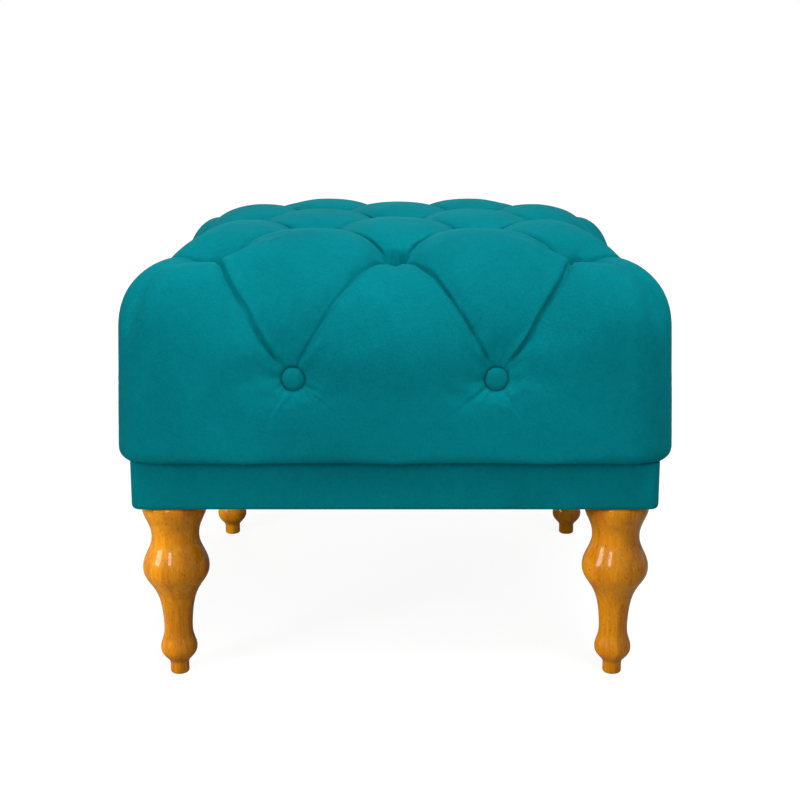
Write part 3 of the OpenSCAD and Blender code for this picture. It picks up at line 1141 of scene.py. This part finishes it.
def spin_outline(
    made: bmesh.types.BMesh, outline: Sequence[tuple[float, float]], steps: int
) -> None:
    """Turns an outline of radii and heights into a closed turned shape round Z.

    Args:
        made: The mesh that it is added to.
        outline: Radius and height of each point, from the axis to the axis.
        steps: Number of flat sides.
    """
    verts = [made.verts.new((radius, 0.0, height)) for radius, height in outline]
    edges = [made.edges.new(pair) for pair in zip(verts, verts[1:])]
    bmesh.ops.spin(
        made,
        geom=[*verts, *edges],
        cent=(0, 0, 0),
        axis=(0, 0, 1),
        angle=TAU,
        steps=steps,
        use_merge=True,
        use_duplicate=False,
    )
    bmesh.ops.remove_doubles(made, verts=made.verts, dist=1e-6)
    bmesh.ops.recalc_face_normals(made, faces=made.faces)


def bevel(
    made: bmesh.types.BMesh, edges: Sequence[bmesh.types.BMEdge], width: float, segments: int
) -> None:
    """Rounds edges of a mesh.

    Args:
        made: The mesh.
        edges: The edges.
        width: The rounding's radius.
        segments: Number of faces across it.
    """
    bmesh.ops.bevel(
        made,
        geom=edges,
        offset=width,
        offset_type="OFFSET",
        segments=segments,
        profile=0.5,
        affect="EDGES",
        material=-1,
        clamp_overlap=True,
    )


class Side(Enum):
    """A side of the cushion, by how far round it lies from the front, in degrees."""

    FRONT = 0
    RIGHT = 90
    REAR = 180
    LEFT = 270


@dataclass
class CoveredButtons:
    """Velvet-covered buttons, domed, each drawn into its seat in the cushion."""

    cushion: TuftedCushion
    radius: float = 0.011
    height: float = 0.007
    rim: float = 0.0025
    back_in: float = 0.0022
    rim_in: float = 0.0006
    roundness: float = 0.8
    steps: int = 48
    rings: int = 10

    def cap(self) -> bmesh.types.BMesh:
        """Makes one button.

        Returns:
            The button, its flat back at the origin and its dome towards +Z.
        """
        made = bmesh.new()
        outline = [
            (0.0, 0.0),
            (self.radius - self.back_in, 0.0),
            (self.radius - self.rim_in, self.rim_in),
        ]
        for i in range(self.rings):
            turn = math.pi / 2 * i / self.rings
            out, up = math.cos(turn) ** self.roundness, math.sin(turn) ** self.roundness
            outline.append((self.radius * out, self.rim + (self.height - self.rim) * up))
        spin_outline(made, [*outline, (0.0, self.height)], self.steps)
        return made

    def placed(self, seats: Iterable[Matrix]) -> bmesh.types.BMesh:
        """Copies the button into its seats.

        Args:
            seats: Where each goes.

        Returns:
            All of them in one mesh.
        """
        cap = self.cap()
        mesh = bpy.data.meshes.new("button_cap")
        cap.to_mesh(mesh)
        cap.free()
        made = bmesh.new()
        for seat in seats:
            known = len(made.verts)
            made.from_mesh(mesh)
            made.verts.ensure_lookup_table()
            bmesh.ops.transform(made, matrix=seat, verts=made.verts[known:])
        bpy.data.meshes.remove(mesh)
        return made

    def side_seats(self, side: Side) -> list[Matrix]:
        """Where the two buttons of a side go.

        Args:
            side: The side.

        Returns:
            The places of its left and its right button.
        """
        seat = self.cushion.side_seat()
        return [
            Matrix.Rotation(math.radians(side.value), 4, "Z")
            @ Matrix.Translation((hand * seat.x, seat.y, seat.z))
            @ Matrix.Rotation(math.pi / 2, 4, "X")
            for hand in (-1, 1)
        ]

    def build(self, material: bpy.types.Material) -> list[bpy.types.Object]:
        """Makes the top's thirteen buttons and each side's pair.

        Args:
            material: Their velvet.

        Returns:
            The pieces: the top's buttons, and those of each side.
        """
        on_top = [self.cushion.point(u, v) for u, v in self.cushion.top_buttons()]
        rows = {"top": [Matrix.Translation(at) for at in on_top]}
        for side in Side:
            rows[side.name.lower()] = self.side_seats(side)
        made = []
        for name, seats in rows.items():
            piece = new_piece(f"{name}_covered_buttons", self.placed(seats), material)
            made.append(hand_over(piece, "teal_velvet", f"{name}_buttons"))
        return made


@dataclass
class PlinthBand:
    """The velvet strip stretched round the plinth and stapled over and under its rails."""

    half: float = 0.239
    low: float = 0.170
    high: float = 0.215
    corner_r: float = 0.008
    corner_steps: int = 8
    top_edge_r: float = 0.0012
    foot_edge_r: float = 0.0045
    edge_steps: int = 5
    turned_in: float = 0.019
    span: float = 0.018

    def block(self) -> bmesh.types.BMesh:
        """Makes the plinth's outer shape as one block, with its edges rounded.

        Returns:
            The block.
        """
        made = bmesh.new()
        bmesh.ops.create_cube(made, size=1.0)
        side, height = 2 * self.half, self.high - self.low
        bmesh.ops.scale(made, vec=(side, side, height), verts=made.verts)
        bmesh.ops.translate(made, vec=(0, 0, (self.low + self.high) / 2), verts=made.verts)
        upright = [e for e in made.edges if abs(e.verts[0].co.z - e.verts[1].co.z) > height / 2]
        bevel(made, upright, self.corner_r, self.corner_steps)
        for level, radius in ((self.high, self.top_edge_r), (self.low, self.foot_edge_r)):
            rim = [e for e in made.edges if all(abs(v.co.z - level) < 1e-6 for v in e.verts)]
            bevel(made, rim, radius, self.edge_steps)
        return made

    def long_edges(self, made: bmesh.types.BMesh) -> list[bmesh.types.BMEdge]:
        """The edges of a mesh that are longer than a face of the strip may be."""
        return [edge for edge in made.edges if edge.calc_length() > self.span]

    def build(self, material: bpy.types.Material) -> bpy.types.Object:
        """Makes the strip.

        Args:
            material: Its velvet.

        Returns:
            The piece.
        """
        made = self.block()
        flats = [face for face in made.faces if abs(face.normal.z) > 0.999]
        bmesh.ops.inset_region(made, faces=flats, thickness=self.turned_in, use_even_offset=True)
        bmesh.ops.delete(made, geom=flats, context="FACES")
        while edges := self.long_edges(made):
            bmesh.ops.subdivide_edges(made, edges=edges, cuts=1, use_grid_fill=True)
        piece = new_piece("plinth_band", made, material)
        return hand_over(piece, "teal_velvet", "plinth_cover")


@dataclass
class DustCover:
    """The black cloth stapled under the plinth, cut out round the legs, and sagging a little."""

    half: float = 0.2315
    level: float = 0.1697
    cells: int = 64
    cut_r: float = 0.031
    leg_at: float = 0.205
    sag: float = 0.0035
    sag_half: float = 0.2
    ripple: float = 0.3
    ripple_noise: tuple[float, float] = (22, 1.3)

    def build(self, material: bpy.types.Material) -> bpy.types.Object:
        """Makes the cloth.

        Args:
            material: Its black cloth.

        Returns:
            The piece.
        """
        made = bmesh.new()
        bmesh.ops.create_grid(made, x_segments=self.cells, y_segments=self.cells, size=self.half)
        away = [face for face in made.faces if self.is_cut_away(face.calc_center_median())]
        bmesh.ops.delete(made, geom=away, context="FACES")
        for vert in made.verts:
            x, y = vert.co.x, vert.co.y
            if vert.is_boundary:
                vert.co.x, vert.co.y = self.trimmed(x, y)
            vert.co.z = self.hung(x, y)
        piece = new_piece("stretched_dust_cover", made, material)
        return hand_over(piece, "dust_cloth", "dust_cover")

    def is_cut_away(self, at: Vector) -> bool:
        """Whether a place lies in a leg's cut-out, which is open to the corner."""
        dx, dy = abs(at.x) - self.leg_at, abs(at.y) - self.leg_at
        return (dx > 0 and dy > 0) or math.hypot(dx, dy) < self.cut_r

    def trimmed(self, x: float, y: float) -> tuple[float, float]:
        """Moves a point of the cloth's edge onto the round of a leg's cut-out.

        Args:
            x: Its place across.
            y: Its place front to back.

        Returns:
            The new place, or the same one where it isn't at a cut-out.
        """
        dx, dy = abs(x) - self.leg_at, abs(y) - self.leg_at
        reach = math.hypot(dx, dy)
        if reach >= self.cut_r * 1.3 or min(dx, dy) >= self.cut_r:
            return x, y
        grow = self.cut_r / reach
        return sign(x) * (self.leg_at + dx * grow), sign(y) * (self.leg_at + dy * grow)

    def hung(self, x: float, y: float) -> float:
        """Height of the sagging cloth at a place.

        Args:
            x: The place across.
            y: The place front to back.

        Returns:
            The height.
        """
        hang = max(0.0, 1 - (x / self.sag_half) ** 2) * max(0.0, 1 - (y / self.sag_half) ** 2)
        ripple = self.ripple * cloth_noise(x, y, *self.ripple_noise)
        return self.level - self.sag * hang * (1 + ripple)


class Corner(Enum):
    """A corner of the plinth, by the signs of its x and its y."""

    FRONT_LEFT = (-1, -1)
    FRONT_RIGHT = (1, -1)
    REAR_LEFT = (-1, 1)
    REAR_RIGHT = (1, 1)


@dataclass
class TurnedLegs:
    """Four turned legs: collar, neck, bulb, waist, ball and toe, each a diameter and a height."""

    leg_at: float = 0.205
    top: float = 0.170
    collar: tuple[float, float] = (0.060, 0.165)
    neck: tuple[float, float] = (0.044, 0.1355)
    bulb: tuple[float, float] = (0.0615, 0.1065)
    waist: tuple[float, float] = (0.0265, 0.0485)
    ball: tuple[float, float] = (0.034, 0.0265)
    toe: tuple[float, float] = (0.0175, 0.010)
    toe_round: float = 0.002
    hip_reach: float = 0.36
    hip_power: float = 2.6
    steps: int = 96
    between: int = 16
    toe_steps: int = 6

    def outline(self) -> list[tuple[float, float]]:
        """Works out the turning's outline.

        Returns:
            Radius and height of each point, from the toe up.
        """
        toe_r = self.toe[0] / 2
        points = [(0.0, 0.0)]
        for i in range(self.toe_steps + 1):
            turn = math.pi / 2 * i / self.toe_steps
            out, up = 1 - math.sin(turn), 1 - math.cos(turn)
            points.append((toe_r - self.toe_round * out, self.toe_round * up))
        points.append((toe_r, self.toe[1]))
        points += self.s_curve(self.ball, self.toe, 1.4)
        points += self.s_curve(self.waist, self.ball, 1.6)
        points += self.hip()
        points += self.s_curve(self.bulb, self.neck, 1.0)
        points += self.s_curve(self.neck, self.collar, 1.2)
        return [*points, (self.collar[0] / 2, self.top), (0.0, self.top)]

    def s_curve(
        self, base: tuple[float, float], far: tuple[float, float], power: float
    ) -> list[tuple[float, float]]:
        """Joins two named widths by a soft S.

        Args:
            base: Diameter and height at one end.
            far: Diameter and height at the other end.
            power: Above 1 where the curve keeps the width of its base for longer.

        Returns:
            Radius and height of each point but the lowest, from the lower end up.
        """
        points = []
        for i in range(1, self.between + 1):
            x = i / self.between if far[1] > base[1] else 1 - i / self.between
            share = 0.5 - 0.5 * math.cos(math.pi * x**power)
            width = base[0] + (far[0] - base[0]) * share
            points.append((width / 2, base[1] + (far[1] - base[1]) * x))
        return points

    def hip(self) -> list[tuple[float, float]]:
        """Joins the waist to the bulb by the curve that falls away fast under the bulb.

        Returns:
            Radius and height of each point but the lowest, from the waist up.
        """
        points = []
        least = self.hip_share(1)
        for i in range(1, 2 * self.between + 1):
            x = 1 - i / (2 * self.between)
            share = (self.hip_share(x) - least) / (1 - least)
            width = self.waist[0] + (self.bulb[0] - self.waist[0]) * share
            points.append((width / 2, self.bulb[1] + (self.waist[1] - self.bulb[1]) * x))
        return points

    def hip_share(self, x: float) -> float:
        """How much of the bulb's width is left at a share x of the way down to the waist."""
        return 1 / (1 + (x / self.hip_reach) ** self.hip_power)

    def build(self, material: bpy.types.Material) -> list[bpy.types.Object]:
        """Makes the four legs.

        Args:
            material: Their wood.

        Returns:
            The pieces.
        """
        made = []
        for corner in Corner:
            x, y = corner.value
            leg = bmesh.new()
            spin_outline(leg, self.outline(), self.steps)
            bmesh.ops.translate(leg, vec=(x * self.leg_at, y * self.leg_at, 0), verts=leg.verts)
            piece = new_piece(f"{corner.name.lower()}_turned_leg", leg, material)
            made.append(hand_over(piece, "turned_wood", f"{corner.name.lower()}_leg"))
        return made


@dataclass
class InnerWorks:
    """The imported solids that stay: frame, deck, foam, fixings, twine and toggles."""

    groups: dict[str, tuple[str, ...]] = field(
        default_factory=lambda: {
            "timber_along_x": ("front_rail", "rear_rail"),
            "timber_along_y": ("left_rail", "right_rail"),
            "timber_along_z": (
                "front_left_block",
                "front_right_block",
                "rear_left_block",
                "rear_right_block",
            ),
            "plywood": ("deck_board",),
            "toggle_wood": ("twine_toggles",),
            "foam": ("foam_core",),
            "zinc_steel": (
                "frame_screws",
                "plinth_cover_staples",
                "dust_cover_staples",
                "deck_screws",
                "cushion_hem_staples",
                "button_backs",
                "leg_bolts",
                "leg_nuts",
            ),
            "twine": ("button_twines",),
        }
    )

    def dress(self) -> None:
        """Gives each solid its material."""
        finishes = {
            "timber_along_x": PlainTimber("timber_along_x", along=(0.08, 1.0, 1.0)).material(),
            "timber_along_y": PlainTimber("timber_along_y", along=(1.0, 0.08, 1.0)).material(),
            "timber_along_z": PlainTimber("timber_along_z", along=(1.0, 1.0, 0.08)).material(),
            "plywood": Plywood().material(),
            "toggle_wood": PlainTimber(
                "toggle_wood", srgb(206, 170, 118), srgb(160, 118, 70), (0.2, 0.2, 1.0)
            ).material(),
            "foam": Foam().material(),
            "zinc_steel": Zinc().material(),
            "twine": Twine().material(),
        }
        for group, nodes in self.groups.items():
            for node in nodes:
                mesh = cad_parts[node].data
                mesh.materials.clear()
                mesh.materials.append(finishes[group])
            LOG.info("%s: %s", group, ", ".join(nodes))


class Lights(Enum):
    """What a lamp lights."""

    ALL = "all"
    LEGS = "the legs alone"
    REST = "all but the legs"


@dataclass
class Lamp:
    """One soft lamp."""

    name: str
    at: tuple[float, float, float]
    aim: tuple[float, float, float]
    size: tuple[float, float]
    power: float
    lights: Lights = Lights.ALL

    def hang(self, legs: Sequence[bpy.types.Object]) -> None:
        """Adds the lamp to the scene.

        Args:
            legs: The legs, which it may light alone or leave out.
        """
        data = bpy.data.lights.new(self.name, "AREA")
        data.shape = "RECTANGLE"
        data.size, data.size_y = self.size
        data.energy = self.power
        lamp = bpy.data.objects.new(self.name, data)
        lamp.location = self.at
        lamp.rotation_mode = "QUATERNION"
        lamp.rotation_quaternion = (Vector(self.aim) - Vector(self.at)).to_track_quat("-Z", "Y")
        bpy.context.scene.collection.objects.link(lamp)
        if self.lights is Lights.ALL:
            return
        linked = bpy.data.collections.new(f"{self.name}_lights")
        for leg in legs:
            linked.objects.link(leg)
        state = "INCLUDE" if self.lights is Lights.LEGS else "EXCLUDE"
        for held in linked.collection_objects:
            held.light_linking.link_state = state
        lamp.light_linking.receiver_collection = linked


@dataclass
class Studio:
    """A white studio: pale floor, soft lamps, and the camera of the photograph.

    The photograph lights its cushion evenly and its legs from the left, so most lamps light either
    the legs or the rest.
    """

    camera_at: tuple[float, float, float] = (0.015, -1.4768, 0.5673)
    camera_down: float = 12.0
    lens: float = 64.44
    shift: tuple[float, float] = (-0.0146, -0.04325)
    floor_half: float = 9.0
    floor_glow: float = 0.9
    floor_fade: tuple[float, float] = (0.3, 1.4)
    world_light: float = 0.22
    lamps: tuple[Lamp, ...] = (
        Lamp("over", (0.2, -0.45, 1.6), (0, 0.0, 0.3), (1.3, 1.0), 18.0, Lights.REST),
        Lamp("key", (0.9, -2.0, 1.7), (0, 0, 0.25), (1.3, 1.1), 11.5, Lights.REST),
        Lamp("window", (-1.2, -1.15, 0.66), (-0.05, -0.1, 0.1), (0.4, 0.5), 8.8, Lights.REST),
        Lamp("fill", (1.7, -1.5, 1.3), (0, 0, 0.25), (1.2, 1.2), 3.5, Lights.REST),
        Lamp("rear", (-0.5, 2.3, 1.3), (0, 0, 0.2), (1.4, 1.1), 9.0),
        Lamp("leg_side", (-1.9, -1.0, 0.9), (0.0, -0.1, 0.1), (0.7, 0.8), 36.0, Lights.LEGS),
        Lamp("leg_window", (-0.75, -2.0, 1.35), (0, -0.2, 0.1), (0.4, 0.9), 26.0, Lights.LEGS),
    )

    def camera(self) -> None:
        """Sets the camera."""
        data = bpy.data.cameras.new("camera")
        data.sensor_width = 36.0
        data.lens = self.lens
        data.shift_x, data.shift_y = self.shift
        data.clip_end = 100.0
        camera = bpy.data.objects.new("camera", data)
        camera.location = self.camera_at
        camera.rotation_euler = (math.radians(90 - self.camera_down), 0, 0)
        bpy.context.scene.collection.objects.link(camera)
        bpy.context.scene.camera = camera

    def floor(self) -> None:
        """Lays the pale floor, which fades to the white of the background."""
        made = bmesh.new()
        bmesh.ops.create_circle(made, cap_ends=True, segments=96, radius=self.floor_half)
        material, g = new_material("studio_floor")
        away = g.value("ShaderNodeVectorMath", {"operation": "LENGTH"}, {0: g.place()}, "Value")
        seen = g.value("ShaderNodeLightPath", output="Is Camera Ray")
        colour = g.mix(seen, srgb(182, 182, 181), srgb(130, 130, 130))
        pale = g.value("ShaderNodeBsdfDiffuse", None, {"Color": colour})
        faded = away.sloped(*self.floor_fade) * (1 - self.floor_glow)
        strength = seen * (self.floor_glow + faded)
        glow = g.value("ShaderNodeEmission", None, {"Color": WHITE, "Strength": strength})
        both = g.value("ShaderNodeAddShader", None, {0: pale, 1: glow})
        g.node("ShaderNodeOutputMaterial", None, {"Surface": both})
        new_piece("floor", made, material)

    def world(self) -> None:
        """Lights the room evenly, and shows the background white to the camera and in gloss."""
        world = bpy.data.worlds.new("studio")
        world.use_nodes = True
        g = Graph(world.node_tree)
        path = g.node("ShaderNodeLightPath")
        white = Value(g, path.outputs["Is Camera Ray"]) + Value(g, path.outputs["Is Glossy Ray"])
        white = white + Value(g, path.outputs["Is Transmission Ray"])
        strength = white.sloped(0.0, 1.0) * (1 - self.world_light) + self.world_light
        back = g.value("ShaderNodeBackground", None, {"Color": WHITE, "Strength": strength})
        g.node("ShaderNodeOutputWorld", None, {"Surface": back})
        bpy.context.scene.world = world

    def build(self) -> None:
        """Sets up the studio but for its lamps."""
        self.camera()
        self.floor()
        self.world()
        bpy.context.scene.view_settings.view_transform = "Standard"

    def light(self, legs: Sequence[bpy.types.Object]) -> None:
        """Hangs the lamps.

        Args:
            legs: The legs, which some of the lamps light alone.
        """
        for lamp in self.lamps:
            lamp.hang(legs)


def main() -> None:
    """Builds the pouf and its studio."""
    logging.basicConfig(level=logging.INFO, format="%(name)s: %(message)s")
    studio = Studio()
    studio.build()
    velvet = Velvet().material()
    cushion = TuftedCushion()
    cushion.build(velvet)
    CoveredButtons(cushion).build(velvet)
    PlinthBand().build(velvet)
    DustCover().build(DustCloth().material())
    legs = TurnedLegs().build(LacqueredWood().material())
    studio.light(legs)
    InnerWorks().dress()


if __name__ == "__main__":
    main()
